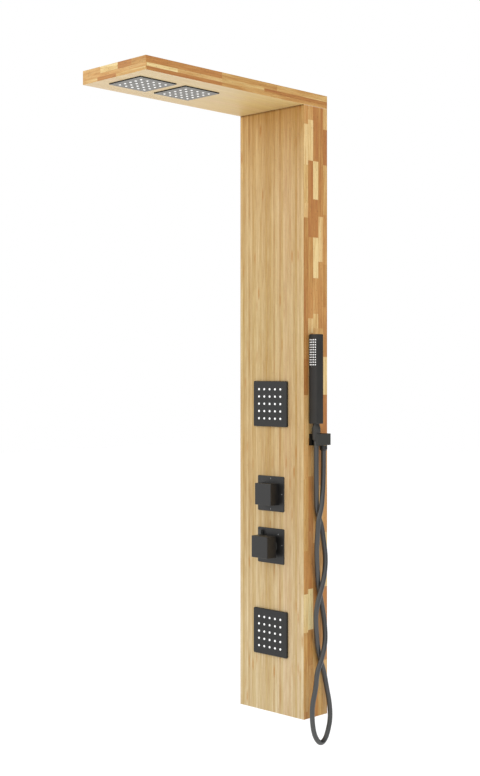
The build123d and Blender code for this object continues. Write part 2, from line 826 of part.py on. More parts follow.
def make_pipes():
    make_pipe(
        "riser_pipe",
        [(0, port_plane, mixer_z + port_reach), (0, port_plane, diverter_z - port_reach)],
        riser_bend,
    )
    with BuildPart() as tee:
        with BuildSketch(level_at(jets_pipe_x, port_plane, diverter_z)):
            Circle(tee_radius)
        extrude(amount=tee_reach, both=True)
        for direction in (1, -1):
            with BuildSketch(level_at(jets_pipe_x, port_plane, diverter_z)):
                Circle(pipe_bore - barb_gap)
            extrude(amount=direction * (tee_reach + barb_length))
        with BuildSketch(cross_at(port_plane, diverter_z, jets_pipe_x)):
            Circle(tee_radius)
        extrude(amount=tee_reach)
        with BuildSketch(cross_at(port_plane, diverter_z, jets_pipe_x)):
            Circle(pipe_bore - barb_gap)
        extrude(amount=tee_reach + barb_length)
    save(tee.part, "jets_tee")
    make_pipe(
        "jets_feed_pipe",
        [(jets_pipe_x + tee_reach, port_plane, diverter_z), (-port_reach, port_plane, diverter_z)],
        jets_bend,
    )
    for name, jet_z, direction in (("upper_jet_pipe", upper_jet_z, 1), ("lower_jet_pipe", lower_jet_z, -1)):
        make_pipe(
            name,
            [
                (jets_pipe_x, port_plane, diverter_z + direction * tee_reach),
                (jets_pipe_x, port_plane, jet_z),
                (-jet_port_reach, port_plane, jet_z),
            ],
            jets_bend,
        )
    above_valve = diverter_z + port_reach
    below_jet = upper_jet_z - jet_nut_radius - rain_pipe_slant
    above_jet = upper_jet_z + jet_nut_radius + rain_pipe_shift
    rear_inlet = rear_head_y + head_dome_length / 2 + head_port_reach
    make_pipe(
        "rain_pipe",
        [
            (0, port_plane, above_valve),
            (0, port_plane, above_valve + riser_bend),
            (rain_pipe_shift, rain_pipe_plane, below_jet),
            (rain_pipe_shift, rain_pipe_plane, above_jet),
            (0, rain_pipe_plane, above_jet + rain_pipe_shift),
            (0, rain_pipe_plane, rain_pipe_z),
            (0, rear_inlet, rain_pipe_z),
        ],
        riser_bend,
    )
    link_back = rear_head_y - head_dome_length / 2 - head_port_reach
    link_front = front_head_y + head_dome_length / 2 + head_port_reach
    make_pipe("rain_link_pipe", [(0, link_back, rain_pipe_z), (0, link_front, rain_pipe_z)], riser_bend)
    outlet_port_z = holder_z - spigot_port_drop
    rise_end = outlet_port_z - riser_bend - hand_bend
    make_pipe(
        "hand_shower_pipe",
        [
            (port_reach, port_plane, diverter_z),
            (hand_pipe_x, port_plane, diverter_z),
            (hand_pipe_x, port_plane, rise_end - hand_pipe_rise),
            (hand_pipe_x, outlet_plane, rise_end),
            (hand_pipe_x, outlet_plane, outlet_port_z),
        ],
        hand_bend,
    )


# Holder and hose outlet

def turned(axis_x, axis_y, profile):
    """Turned piece about an upright axis; the profile is a closed list of radius and height."""
    section = Plane(origin=(axis_x, axis_y, 0), x_dir=(1, 0, 0), z_dir=(0, -1, 0))
    with BuildPart() as piece:
        with BuildSketch(section):
            with BuildLine():
                Polyline(*profile, close=True)
            make_face()
        revolve(axis=Axis((axis_x, axis_y, 0), (0, 0, 1)))
    return piece.part


def seat_profile():
    """Hollow that the cone nut drops into, one clearance wider all round than the nut."""
    top = holder_bottom_z + holder_height + clearance
    bottom = holder_bottom_z - clearance
    slope = (cone_nut_radius - cone_nut_seat_radius) / (cone_nut_seat_drop - cone_nut_shoulder)
    top_radius = cone_nut_seat_radius + slope * (top - cone_nut_seat_z)
    return [
        (0, bottom),
        (holder_slot / 2, bottom),
        (holder_slot / 2, cone_nut_end_z),
        (cone_nut_tail_radius + clearance, cone_nut_seat_z),
        (cone_nut_seat_radius + clearance, cone_nut_seat_z),
        (top_radius + clearance, top),
        (0, top),
    ]


def make_holder():
    depth = holder_back - holder_front
    middle_y = (holder_back + holder_front) / 2
    with BuildPart() as holder:
        with BuildSketch(level_at(side_x + holder_out / 2, middle_y, holder_bottom_z)):
            Rectangle(holder_out, depth)
        extrude(amount=holder_height)
        inner = holder.faces().sort_by(Axis.X)[0]
        fillet(holder.edges() - inner.edges(), holder_round)
        add(turned(hand_axis_x, hand_axis_plane, seat_profile()), mode=Mode.SUBTRACT)
        slot_length = hand_axis_plane - holder_front + clearance
        with BuildSketch(level_at(hand_axis_x, hand_axis_plane - slot_length / 2, holder_bottom_z)):
            Rectangle(holder_slot, slot_length)
        extrude(amount=holder_height, mode=Mode.SUBTRACT)
        with BuildSketch(cross_at(outlet_plane, holder_z, side_x)):
            Circle(spigot_radius + clearance)
        extrude(amount=hand_axis_out + spigot_end + clearance, mode=Mode.SUBTRACT)
        with BuildSketch(cross_at(outlet_plane, holder_z, side_x)):
            with Locations(*holder_screw_places()):
                Circle(wood_screw_radius + fit_gap)
        extrude(amount=holder_screw_depth, mode=Mode.SUBTRACT)
        with BuildSketch(level_at(hand_axis_x, outlet_plane, holder_bottom_z)):
            Circle(nipple_radius + clearance)
        extrude(amount=holder_drop, mode=Mode.SUBTRACT)
    save(holder.part, "shower_holder")

    with BuildPart() as screws:
        inside = cross_at(outlet_plane, holder_z, inner_x)
        with BuildSketch(inside):
            with Locations(*holder_screw_places()):
                Circle(screw_head_radius)
        extrude(amount=-screw_head_height)
        with BuildSketch(inside):
            with Locations(*holder_screw_places()):
                Circle(wood_screw_radius)
        extrude(amount=board + holder_screw_depth - clearance)
    save(screws.part, "holder_screws")

    spigot_start = hand_pipe_x - spigot_inner_end
    with BuildPart() as spigot:
        with BuildSketch(cross_at(outlet_plane, holder_z, spigot_start)):
            Circle(spigot_radius)
        extrude(amount=hand_axis_x + spigot_end - spigot_start)
        with BuildSketch(level_at(hand_axis_x, outlet_plane, holder_z - spigot_radius)):
            Circle(nipple_pin_radius + fit_gap)
        extrude(amount=spigot_radius, mode=Mode.SUBTRACT)
        down = Plane(origin=(hand_pipe_x, outlet_plane, holder_z), x_dir=(0, 1, 0), z_dir=(0, 0, -1))
        add(pipe_port(down, spigot_port_drop))
    save(spigot.part, "outlet_spigot")

    with BuildPart() as lock_nut:
        with BuildSketch(cross_at(outlet_plane, holder_z, inner_x)):
            RegularPolygon(lock_nut_radius, 6)
            Circle(spigot_radius + fit_gap, mode=Mode.SUBTRACT)
        extrude(amount=-ring_nut_thickness)
    save(lock_nut.part, "outlet_lock_nut")

    nipple = turned(
        hand_axis_x,
        outlet_plane,
        [
            (0, nipple_flange_z - nipple_thread),
            (nipple_radius, nipple_flange_z - nipple_thread),
            (nipple_radius, nipple_flange_z),
            (nipple_flange_radius, nipple_flange_z),
            (nipple_flange_radius, holder_bottom_z),
            (nipple_radius, holder_bottom_z),
            (nipple_radius, holder_z - spigot_radius - clearance),
            (nipple_pin_radius, holder_z - spigot_radius - clearance),
            (nipple_pin_radius, holder_z - spigot_radius + nipple_pin_length),
            (0, holder_z - spigot_radius + nipple_pin_length),
        ],
    )
    save(nipple, "outlet_nipple")

    outlet_nut = turned(
        hand_axis_x,
        outlet_plane,
        [
            (nut_bore, outlet_nut_end_z),
            (nut_end_radius, outlet_nut_end_z),
            (outlet_nut_radius, outlet_nut_end_z + outlet_nut_cone),
            (outlet_nut_radius, nipple_flange_z),
            (nipple_radius + fit_gap, nipple_flange_z),
            (nipple_radius + fit_gap, nipple_flange_z - nipple_thread),
            (nut_bore, nipple_flange_z - nipple_thread),
        ],
    )
    save(outlet_nut, "outlet_hose_nut")


# Hand shower

def make_hand_shower():
    zone = (hand_rows - 1) * hand_row_pitch
    zone_z = stick_top_z - hand_first_row - zone / 2
    window = zone + 2 * hand_plate_margin
    stick_front = hand_axis_plane - stick / 2

    def stick_plane(inward):
        return Plane(origin=(hand_axis_x, stick_front + inward, zone_z), x_dir=(1, 0, 0), z_dir=(0, -1, 0))

    recess = hand_skin + mat_thickness
    with BuildPart() as body:
        with BuildSketch(level_at(hand_axis_x, hand_axis_plane, stick_bottom_z)):
            Rectangle(stick, stick)
        extrude(amount=stick_length)
        fillet(body.edges(), stick_round)
        with BuildSketch(stick_plane(0)):
            Rectangle(hand_plate_width + 2 * fit_gap, window + 2 * fit_gap)
        extrude(amount=-recess, mode=Mode.SUBTRACT)
        with BuildSketch(stick_plane(recess)):
            Rectangle(hand_plate_width - 2 * hand_skin, window - 2 * hand_skin)
        extrude(amount=-hand_chamber_depth, mode=Mode.SUBTRACT)
        with BuildSketch(level_at(hand_axis_x, hand_axis_plane, stick_bottom_z)):
            Circle(waterway_radius)
        extrude(amount=zone_z - stick_bottom_z, mode=Mode.SUBTRACT)
        with BuildSketch(level_at(hand_axis_x, hand_axis_plane, stick_bottom_z)):
            Circle(neck_radius + fit_gap)
        extrude(amount=neck_thread, mode=Mode.SUBTRACT)
    save(body.part, "hand_shower_body")

    with BuildPart() as face:
        with BuildSketch(stick_plane(0)):
            Rectangle(hand_plate_width, window)
            with GridLocations(hand_column_pitch, hand_row_pitch, hand_columns, hand_rows):
                RegularPolygon(hand_nozzle_radius + hand_nozzle_gap, hand_nozzle_sides, mode=Mode.SUBTRACT)
        extrude(amount=-hand_skin)
    save(face.part, "hand_shower_face")

    with BuildPart() as nozzles:
        with BuildSketch(stick_plane(recess)):
            Rectangle(hand_plate_width, window)
        extrude(amount=mat_thickness)
        with BuildSketch(stick_plane(hand_skin)):
            with GridLocations(hand_column_pitch, hand_row_pitch, hand_columns, hand_rows):
                RegularPolygon(hand_nozzle_radius, hand_nozzle_sides)
        extrude(amount=hand_skin + hand_nozzle_proud)
    save(nozzles.part, "hand_shower_nozzles")

    neck = turned(
        hand_axis_x,
        hand_axis_plane,
        [
            (nut_bore, cone_nut_top_z - neck_thread),
            (neck_radius, cone_nut_top_z - neck_thread),
            (neck_radius, cone_nut_top_z),
            (neck_collar_radius, cone_nut_top_z),
            (neck_collar_radius, stick_bottom_z),
            (neck_radius, stick_bottom_z),
            (neck_radius, stick_bottom_z + neck_thread),
            (nut_bore, stick_bottom_z + neck_thread),
        ],
    )
    save(neck, "hand_shower_neck")

    cone_nut = turned(
        hand_axis_x,
        hand_axis_plane,
        [
            (nut_bore, cone_nut_end_z),
            (nut_end_radius, cone_nut_end_z),
            (cone_nut_tail_radius, cone_nut_seat_z),
            (cone_nut_seat_radius, cone_nut_seat_z),
            (cone_nut_radius, cone_nut_top_z - cone_nut_shoulder),
            (cone_nut_top_radius, cone_nut_top_z),
            (neck_radius + fit_gap, cone_nut_top_z),
            (neck_radius + fit_gap, cone_nut_top_z - neck_thread),
            (nut_bore, cone_nut_top_z - neck_thread),
        ],
    )
    save(cone_nut, "hand_hose_nut")


# Hose: it hangs from the hand shower, crosses itself three times and comes back up to the outlet

hose_route = [
    (hand_axis_x, hand_axis_plane, cone_nut_end_z),
    (hand_axis_x, hand_axis_plane, -712),
    (122, -56.5, -762),
    (117.6, -51, -802),
    (115, -45.5, -834),
    (115, -29, -866),
    (118.6, -26, -902),
    (123.5, -23.5, -944),
    (128.2, -33, -984),
    (130.8, -47, -1016),
    (130.8, -61, -1046),
    (127.4, -65, -1080),
    (121, -55, -1122),
    (115.8, -45, -1158),
    (114.8, -33.5, -1192),
    (116, -21.5, -1222),
    (120.5, -17, -1260),
    (123.5, -9, -1300),
    (125.5, -8.5, -1336),
    (126.5, -18, -1364),
    (126.8, -28.5, -1383),
    (126.8, -43, -1391),
    (126.8, -57.5, -1383),
    (126.5, -70, -1362),
    (126, -76, -1330),
    (126.5, -76, -1292),
    (129, -65, -1252),
    (131, -64.5, -1216),
    (131, -46.5, -1186),
    (127.6, -29.5, -1150),
    (120, -22.5, -1110),
    (116, -25.5, -1072),
    (114.8, -33, -1040),
    (115.8, -42.5, -1008),
    (120, -51, -968),
    (124.5, -58.5, -922),
    (129, -59.5, -882),
    (131, -59.5, -850),
    (130.6, -46.5, -820),
    (126, -37.5, -782),
    (hand_axis_x, outlet_plane, -736),
    (hand_axis_x, outlet_plane, outlet_nut_end_z),
]


def make_hose():
    points = [Vector(*place) for place in hose_route]
    radii = [bend_radius(points, index) for index in range(1, len(points) - 1)]
    with BuildPart() as hose:
        with BuildLine() as path:
            FilletPolyline(*points, radius=radii)
        with BuildSketch(Plane(origin=path.line @ 0, z_dir=path.line % 0)):
            Circle(hose_radius)
        sweep()
    length = path.wire().length
    expected = math.pi * hose_radius**2 * length
    print("hose length", round(length, 1), "volume over section times length",
          round(hose.part.volume / expected, 4))
    print("hose radii", [round(radius) for radius in radii])
    save(hose.part, "hose")


make_column_boards()
make_arm_boards()
make_hangers()
make_jet("upper_jet", upper_jet_z)
make_jet("lower_jet", lower_jet_z)
make_ring_nuts("jet_nuts", (upper_jet_z, lower_jet_z), jet_nut_radius, jet_cup_radius)
make_rain_head("front_rain_head", front_head_y, linked=False)
make_rain_head("rear_rain_head", rear_head_y, linked=True)
make_head_screws()
make_diverter()
make_mixer()
make_ring_nuts("control_nuts", (diverter_z, mixer_z), control_nut_radius, boss_radius)
make_pipes()
make_holder()
make_hand_shower()
make_hose()
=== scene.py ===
import math
import random

import bpy
from mathutils import Matrix, Vector


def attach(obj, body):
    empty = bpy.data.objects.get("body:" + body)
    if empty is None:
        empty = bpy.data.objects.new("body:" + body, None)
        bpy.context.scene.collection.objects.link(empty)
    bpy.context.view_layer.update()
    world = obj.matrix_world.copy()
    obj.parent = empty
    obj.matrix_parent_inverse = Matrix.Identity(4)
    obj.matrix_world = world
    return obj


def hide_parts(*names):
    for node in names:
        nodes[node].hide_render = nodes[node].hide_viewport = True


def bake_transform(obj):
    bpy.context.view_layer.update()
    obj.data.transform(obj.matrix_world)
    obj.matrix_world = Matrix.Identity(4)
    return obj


# Sizes are in millimetres here and turned into metres where a mesh is made.
MM = 0.001

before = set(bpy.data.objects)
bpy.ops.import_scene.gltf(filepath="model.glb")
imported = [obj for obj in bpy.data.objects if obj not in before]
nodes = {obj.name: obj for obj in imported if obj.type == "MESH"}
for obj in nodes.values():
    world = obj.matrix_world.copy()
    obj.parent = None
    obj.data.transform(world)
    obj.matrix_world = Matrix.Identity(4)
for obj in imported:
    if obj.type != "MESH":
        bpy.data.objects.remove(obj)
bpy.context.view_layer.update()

# Places shared with the solids
side_x = 107.5
front_y = -85.0
nose_y = -587.4
arm_bottom = 150.0
column_bottom = -1330.0
diverter_z = -793.0
mixer_z = -921.0
jet_heights = {"upper_jet": -572.3, "lower_jet": -1134.5}
head_places = {"front_rain_head": -502.6, "rear_rain_head": -369.2}
hand_axis = (122.5, -57.3)


def metres(*values):
    """Point in metres from three millimetre values."""
    return Vector(values) * MM


# Camera, at the photograph's viewing angle

camera_place = (2185.9, -2399.1, -493.2)
camera_yaw = 44.7564
camera_lens = 59.976
camera_sensor = 36.0
camera_reach = (0.05, 60.0)
horizon_shift = -0.0210


def make_camera():
    data = bpy.data.cameras.new("camera")
    data.lens = camera_lens
    data.sensor_width = camera_sensor
    data.sensor_fit = "AUTO"
    data.shift_y = horizon_shift
    data.clip_start, data.clip_end = camera_reach
    camera = bpy.data.objects.new("camera", data)
    camera.location = metres(*camera_place)
    camera.rotation_euler = (math.radians(90.0), 0.0, math.radians(camera_yaw))
    bpy.context.collection.objects.link(camera)
    bpy.context.scene.camera = camera


# Materials, all made of nodes that read the object's own coordinates

class Graph:
    """One material under construction; every call makes a node and returns its output."""

    def __init__(self, name, roughness=0.5, metallic=0.0):
        self.material = bpy.data.materials.new(name)
        self.material.use_nodes = True
        self.tree = self.material.node_tree
        self.tree.nodes.clear()
        self.shader = self.tree.nodes.new("ShaderNodeBsdfPrincipled")
        output = self.tree.nodes.new("ShaderNodeOutputMaterial")
        self.tree.links.new(self.shader.outputs[0], output.inputs[0])
        self.surface("Roughness", roughness)
        self.surface("Metallic", metallic)
        self.place = self.node("TexCoord", output="Object")

    def feed(self, socket, value):
        if isinstance(value, bpy.types.NodeSocket):
            self.tree.links.new(value, socket)
        else:
            socket.default_value = value

    def surface(self, name, value):
        self.feed(self.shader.inputs[name], value)

    def node(self, kind, inputs=None, output=0, **settings):
        made = self.tree.nodes.new("ShaderNode" + kind)
        for key, value in settings.items():
            setattr(made, key, value)
        for key, value in (inputs or {}).items():
            self.feed(made.inputs[key], value)
        return made.outputs[output]

    def math(self, operation, first, second=0.0, clamp=False):
        return self.node("Math", {0: first, 1: second}, operation=operation, use_clamp=clamp)

    def split(self, vector):
        made = self.tree.nodes.new("ShaderNodeSeparateXYZ")
        self.feed(made.inputs[0], vector)
        return made.outputs[0], made.outputs[1], made.outputs[2]

    def join(self, x, y, z):
        return self.node("CombineXYZ", {0: x, 1: y, 2: z})

    def noise(self, vector, scale, detail, roughness=0.5):
        inputs = {"Vector": vector, "Scale": scale, "Detail": detail, "Roughness": roughness}
        return self.node("TexNoise", inputs)

    def span(self, value, low, high, to_low=0.0, to_high=1.0):
        inputs = {0: value, 1: low, 2: high, 3: to_low, 4: to_high}
        return self.node("MapRange", inputs, clamp=True)

    def blend(self, factor, first, second, mode="MIX"):
        inputs = {0: factor, 6: first, 7: second}
        return self.node("Mix", inputs, output=2, data_type="RGBA", blend_type=mode)

    def ramp(self, value, stops, interpolation="LINEAR"):
        made = self.tree.nodes.new("ShaderNodeValToRGB")
        ramp = made.color_ramp
        ramp.interpolation = interpolation
        first, last = stops[0], stops[-1]
        ramp.elements[0].position, ramp.elements[0].color = first
        ramp.elements[1].position, ramp.elements[1].color = last
        for position, colour in stops[1:-1]:
            ramp.elements.new(position).color = colour
        self.feed(made.inputs[0], value)
        return made.outputs[0]

    def bump(self, height, strength, distance):
        inputs = {"Height": height, "Strength": strength, "Distance": distance}
        self.surface("Normal", self.node("Bump", inputs))


def linear(red, green, blue):
    """Linear colour from 8-bit display values, by the sRGB curve."""
    channels = []
    for value in (red, green, blue):
        share = value / 255
        channels.append(share / 12.92 if share <= 0.04045 else ((share + 0.055) / 1.055) ** 2.4)
    return (*channels, 1.0)


# Tones of the blocks, from the palest to the darkest
wood_tones = [
    (0.0, linear(230, 208, 150)),
    (0.2, linear(212, 180, 118)),
    (0.45, linear(194, 150, 86)),
    (0.75, linear(174, 122, 62)),
    (1.0, linear(160, 100, 50)),
]
warm_block = linear(200, 134, 78)
# Pale colour of the painted highlight along the top edge of the right side blocks
seam_highlight = linear(238, 230, 214)
knuckle_brown = linear(174, 116, 46)

# Values between which most of a noise lies
noise_range = (0.3, 0.7)

# Scales of the grain across, along and into the wood, and its detail: figure, streaks and fibre
grain_scales = [(160.0, 9.0, 60.0, 4.0), (420.0, 16.0, 200.0, 2.0), (1500.0, 60.0, 600.0, 2.0)]
grain_shift = 7.0
grain_roughness = 0.6
pore_across = 520.0
pore_along = 130.0
pore_range = (0.66, 0.76)

# Lacquer
lacquer_roughness = (0.42, 0.56)
lacquer_specular = 0.3
wood_bump = 0.25
wood_relief = 0.4

# Blocks: lengths in millimetres, and how far the grain and the pores shift the tone
block_lengths = (105, 165)
block_tones = (0.28, 0.78)
joint_wobble = 0.22
least_gap = 1
seam_width = 0.4
seam_core = 0.1
seam_shade = 0.86
# Painted highlight: its full width, its core and its greatest share of the pale colour
seam_highlight_width = 1.0
seam_highlight_core = 0.4
seam_highlight_share = 0.3
block_figure = 0.2
block_streaks = 0.14
block_warmth = 0.3
block_pores = 0.38

# Strips: how far each cause shifts the tone between the dark and the light end
tone_end = 1.1
strip_chance = 0.5
strip_drift = 0.4
strip_figure = 0.3
strip_streaks = 0.45
strip_pores = 0.005
strip_line_shade = 0.88
drift_scale = 4.0
second_shift = 51.7
dark_drops = (0.8, 1.15, 1.5)
light_rises = (0.8, 1.0, 1.1)
hue_share = 0.3
knuckle_gap = 125.0
knuckle_shift = 9.0
knuckle_odds = 0.8


def wood_surface(graph, colour, grain, fibre):
    """Satin lacquer over wood: fibres show in the bump and in the gloss."""
    graph.surface("Base Color", colour)
    graph.surface("Roughness", graph.span(grain, *noise_range, *lacquer_roughness))
    graph.surface("Specular IOR Level", lacquer_specular)
    height = graph.math("ADD", graph.math("MULTIPLY", grain, 0.6), graph.math("MULTIPLY", fibre, 0.4))
    graph.bump(height, wood_bump, wood_relief * MM)


def grain_of(graph, along, across, depth, shift):
    """Three noises drawn out along the wood: broad figure, streaks a few millimetres wide, fine fibre."""
    offset = graph.math("MULTIPLY", shift, grain_shift)
    noises = []
    for wide, long, deep, detail in grain_scales:
        place = graph.join(
            graph.math("ADD", graph.math("MULTIPLY", across, wide), offset),
            graph.math("ADD", graph.math("MULTIPLY", along, long), offset),
            graph.math("MULTIPLY", depth, deep),
        )
        noises.append(graph.noise(place, 1.0, detail, grain_roughness))
    return noises


def pores(graph, along, across, depth, amount):
    """Scattered short dark pores, as a factor that darkens the colour."""
    place = graph.join(
        graph.math("MULTIPLY", across, pore_across),
        graph.math("MULTIPLY", along, pore_along),
        graph.math("MULTIPLY", depth, pore_across),
    )
    return graph.span(graph.noise(place, 1.0, 1.0), *pore_range, 1.0, 1.0 - amount)


def block_joints(low, high, rng, features):
    """Butt joints of one row of blocks from low to high, with the given blocks kept as they are."""
    blocks = sorted(features)
    joints = []
    place = low
    for start, end, tone in [*blocks, (high, None, None)]:
        gap = start - place
        count = max(1, round(gap / rng.uniform(*block_lengths))) if gap > least_gap else 0
        for index in range(count):
            wobble = rng.uniform(-joint_wobble, joint_wobble) if index else 0.0
            joints.append((place + gap * (index + wobble) / count, rng.uniform(*block_tones)))
        if end is not None:
            joints.append((start, tone))
            place = end
    return joints


def block_wood(name, axes, rows, low, high, seed, features=None, glint=None):
    """Edge-glued blocks: rows side by side, each a line of blocks in tones of its own.

    axes gives the index of the coordinate along and across the blocks, and rows the edges between the rows.
    features gives some blocks of a row by start, end and tone. glint is the place of a pale painted
    highlight.
    """
    rng = random.Random(seed)
    graph = Graph(name)
    parts = graph.split(graph.place)
    along, across = parts[axes[0]], parts[axes[1]]
    depth = parts[3 - axes[0] - axes[1]]
    share = graph.span(along, low * MM, high * MM)
    chosen = None
    seam = 1.0
    for index in range(len(rows) + 1):
        joints = block_joints(low, high, rng, (features or {}).get(index, []))
        stops = []
        for start, tone in joints:
            position = min(max((start - low) / (high - low), 0.0), 1.0)
            stops.append((position, (tone, rng.random(), rng.random(), 1.0)))
        if len(stops) < 2:
            stops.append((1.0, stops[0][1]))
        row = graph.ramp(share, stops, "CONSTANT")
        if chosen is None:
            chosen = row
            continue
        edge = rows[index - 1] * MM
        past = graph.math("GREATER_THAN", across, edge)
        chosen = graph.blend(past, chosen, row)
        away = graph.math("ABSOLUTE", graph.math("SUBTRACT", across, edge))
        line = graph.span(away, seam_core * MM, seam_width * MM, seam_shade, 1.0)
        seam = graph.math("MULTIPLY", seam, line)
    tone, shift, warmth = graph.split(chosen)
    figure, streaks, fibre = grain_of(graph, along, across, depth, graph.math("MULTIPLY", shift, 10.0))
    broad = graph.span(figure, *noise_range, -block_figure, block_figure)
    narrow = graph.span(streaks, *noise_range, -block_streaks, block_streaks)
    wave = graph.math("ADD", broad, narrow)
    colour = graph.ramp(graph.math("ADD", tone, wave, clamp=True), wood_tones)
    warm = graph.blend(graph.span(warmth, 0.0, 1.0, 0.0, block_warmth), colour, warm_block)
    shade = graph.math("MULTIPLY", graph.span(fibre, 0.35, 0.7, 1.06, 0.86), seam)
    shade = graph.math("MULTIPLY", shade, pores(graph, along, across, depth, block_pores))
    # Painted highlight: a pale line across the blocks at the glint, where light catches their top edge
    if glint:
        away = graph.math("ABSOLUTE", graph.math("SUBTRACT", along, glint * MM))
        bare = graph.span(away, seam_highlight_core * MM, seam_highlight_width * MM, seam_highlight_share, 0.0)
        warm = graph.blend(bare, warm, seam_highlight)
    grey = graph.join(shade, shade, shade)
    wood_surface(graph, graph.blend(1.0, warm, grey, "MULTIPLY"), figure, fibre)
    return graph.material


def strip_wood(name, axes, width, base, spread, knuckle, seed=0.0, tints=None):
    """Narrow bamboo strips that run the whole length, each with its own tone and its knuckles.

    spread is how far the tones reach from the base colour, and knuckle how dark the knuckles are. tints
    gives places along the strips, in order, and the factor that the colour drifts to there, painted shade
    too.
    """
    graph = Graph(name)
    parts = graph.split(graph.place)
    along, across = parts[axes[0]], parts[axes[1]]
    depth = parts[3 - axes[0] - axes[1]]
    steps = graph.math("ADD", graph.math("DIVIDE", across, width * MM), seed)
    strip = graph.math("FLOOR", steps)
    inside = graph.math("SUBTRACT", graph.math("FRACT", steps), 0.5)
    off_centre = graph.math("ABSOLUTE", inside)
    chance = graph.node("TexWhiteNoise", {"W": strip}, noise_dimensions="1D")
    second = graph.node("TexWhiteNoise", {"W": graph.math("ADD", strip, second_shift)}, noise_dimensions="1D")
    figure, streaks, fibre = grain_of(graph, along, across, depth, chance)

    drift = graph.noise(graph.join(strip, graph.math("MULTIPLY", along, drift_scale), seed), 1.0, 3.0)
    tone = graph.span(chance, 0.0, 1.0, -strip_chance, strip_chance)
    tone = graph.math("ADD", tone, graph.span(drift, *noise_range, -strip_drift, strip_drift))
    tone = graph.math("ADD", tone, graph.span(figure, *noise_range, -strip_figure, strip_figure))
    tone = graph.math("ADD", tone, graph.span(streaks, *noise_range, -strip_streaks, strip_streaks))
    dark = linear(*(channel - spread * drop for channel, drop in zip(base, dark_drops)))
    light = linear(*(channel + spread * rise for channel, rise in zip(base, light_rises)))
    stops = [(0.0, dark), (0.5, linear(*base)), (1.0, light)]
    colour = graph.ramp(graph.span(tone, -tone_end, tone_end), stops)
    pink = graph.span(second, 0.6, 1.0, 0.0, hue_share)
    colour = graph.blend(pink, colour, linear(base[0] + 1, base[1] - 10, base[2] + 2))
    yellow = graph.span(second, 0.3, 0.0, 0.0, hue_share)
    colour = graph.blend(yellow, colour, linear(base[0] - 2, base[1] - 2, base[2] - 22))

    knuckles = graph.math("DIVIDE", along, knuckle_gap * MM)
    cells = graph.math("ADD", knuckles, graph.math("MULTIPLY", chance, knuckle_shift))
    cell = graph.join(strip, graph.math("FLOOR", cells), 3.0)
    luck = graph.node("TexWhiteNoise", {"Vector": cell}, noise_dimensions="3D")
    middle = graph.math("ABSOLUTE", graph.math("SUBTRACT", graph.math("FRACT", cells), 0.5))
    mark = graph.span(middle, 0.05, 0.15, 1.0, 0.0)
    mark = graph.math("MULTIPLY", mark, graph.span(off_centre, 0.2, 0.5, 1.0, 0.1))
    mark = graph.math("MULTIPLY", mark, graph.span(luck, knuckle_odds, 1.0, 0.0, knuckle))
    mark = graph.math("MULTIPLY", mark, graph.span(fibre, 0.3, 0.6, 0.5, 1.0))
    colour = graph.blend(mark, colour, knuckle_brown)

    if tints:
        low, high = tints[0][0], tints[-1][0]
        stops = [((place - low) / (high - low), colour_there) for place, colour_there in tints]
        tint = graph.ramp(graph.span(along, low * MM, high * MM), stops)
        colour = graph.blend(1.0, colour, tint, "MULTIPLY")
    line = graph.span(off_centre, 0.4, 0.5, 1.0, strip_line_shade)
    shade = graph.math("MULTIPLY", graph.span(fibre, *noise_range, 1.06, 0.92), line)
    shade = graph.math("MULTIPLY", shade, pores(graph, along, across, depth, strip_pores * spread))
    grey = graph.join(shade, shade, shade)
    wood_surface(graph, graph.blend(1.0, colour, grey, "MULTIPLY"), figure, fibre)
    return graph.material


# Grain of the coats and of bare metal
cloud_scale = 35.0
metal_line_scale = 40.0
metal_cloud_scale = 25.0
metal_dark = 0.82
metal_bump = 0.15
coat_relief = 0.2

# Share of metal in the bare metals; the rest is a dull skin that scatters light
bare_metal = 0.8


def coated(name, colour, roughness, grain_scale, bump, specular=0.5, spread=0.15, rim=None, glow=0.0):
    """Powder coat, moulded plastic or rubber: fine grain, faint blotches in tone and gloss.

    rim is an axis, a place on it and the colour that the piece has beyond it, which paints shade on one side.
    glow is painted light: the piece glows in its own colour.
    """
    graph = Graph(name)
    graph.surface("Specular IOR Level", specular)
    grain = graph.noise(graph.place, grain_scale, 3.0, 0.6)
    cloud = graph.noise(graph.place, cloud_scale, 3.0, 0.5)
    dark = tuple(channel * (1 - spread) for channel in colour[:3]) + (1.0,)
    light = tuple(min(1.0, channel * (1 + spread)) for channel in colour[:3]) + (1.0,)
    mixed = graph.math("ADD", graph.math("MULTIPLY", grain, 0.5), graph.math("MULTIPLY", cloud, 0.5))
    skin = graph.blend(graph.span(mixed, 0.35, 0.65), dark, light)
    # Painted shade: past the place on the axis the piece takes another colour
    if rim:
        axis, edge, rim_colour = rim
        place = graph.split(graph.place)[axis]
        skin = graph.blend(graph.math("GREATER_THAN", place, edge * MM), skin, rim_colour)
    graph.surface("Base Color", skin)
    graph.surface("Roughness", graph.span(cloud, *noise_range, roughness - 0.05, roughness + 0.06))
    graph.surface("Emission Color", colour)
    graph.surface("Emission Strength", glow)
    graph.bump(grain, bump, coat_relief * MM)
    return graph.material


def metal(name, colour, roughness, axis, streaks):
    """Bare metal with fine turning or rolling lines square to one axis."""
    graph = Graph(name, metallic=bare_metal)
    parts = list(graph.split(graph.place))
    parts[axis] = graph.math("MULTIPLY", parts[axis], streaks)
    lines = graph.noise(graph.join(*parts), metal_line_scale, 3.0, 0.6)
    cloud = graph.noise(graph.place, metal_cloud_scale, 3.0, 0.6)
    dark = tuple(channel * metal_dark for channel in colour[:3]) + (1.0,)
    graph.surface("Base Color", graph.blend(graph.span(cloud, *noise_range), dark, colour))
    graph.surface("Roughness", graph.span(lines, *noise_range, roughness - 0.08, roughness + 0.1))
    graph.bump(lines, metal_bump, coat_relief * MM)
    return graph.material


# Blocks that stand out in the photograph, by row: start, end and tone

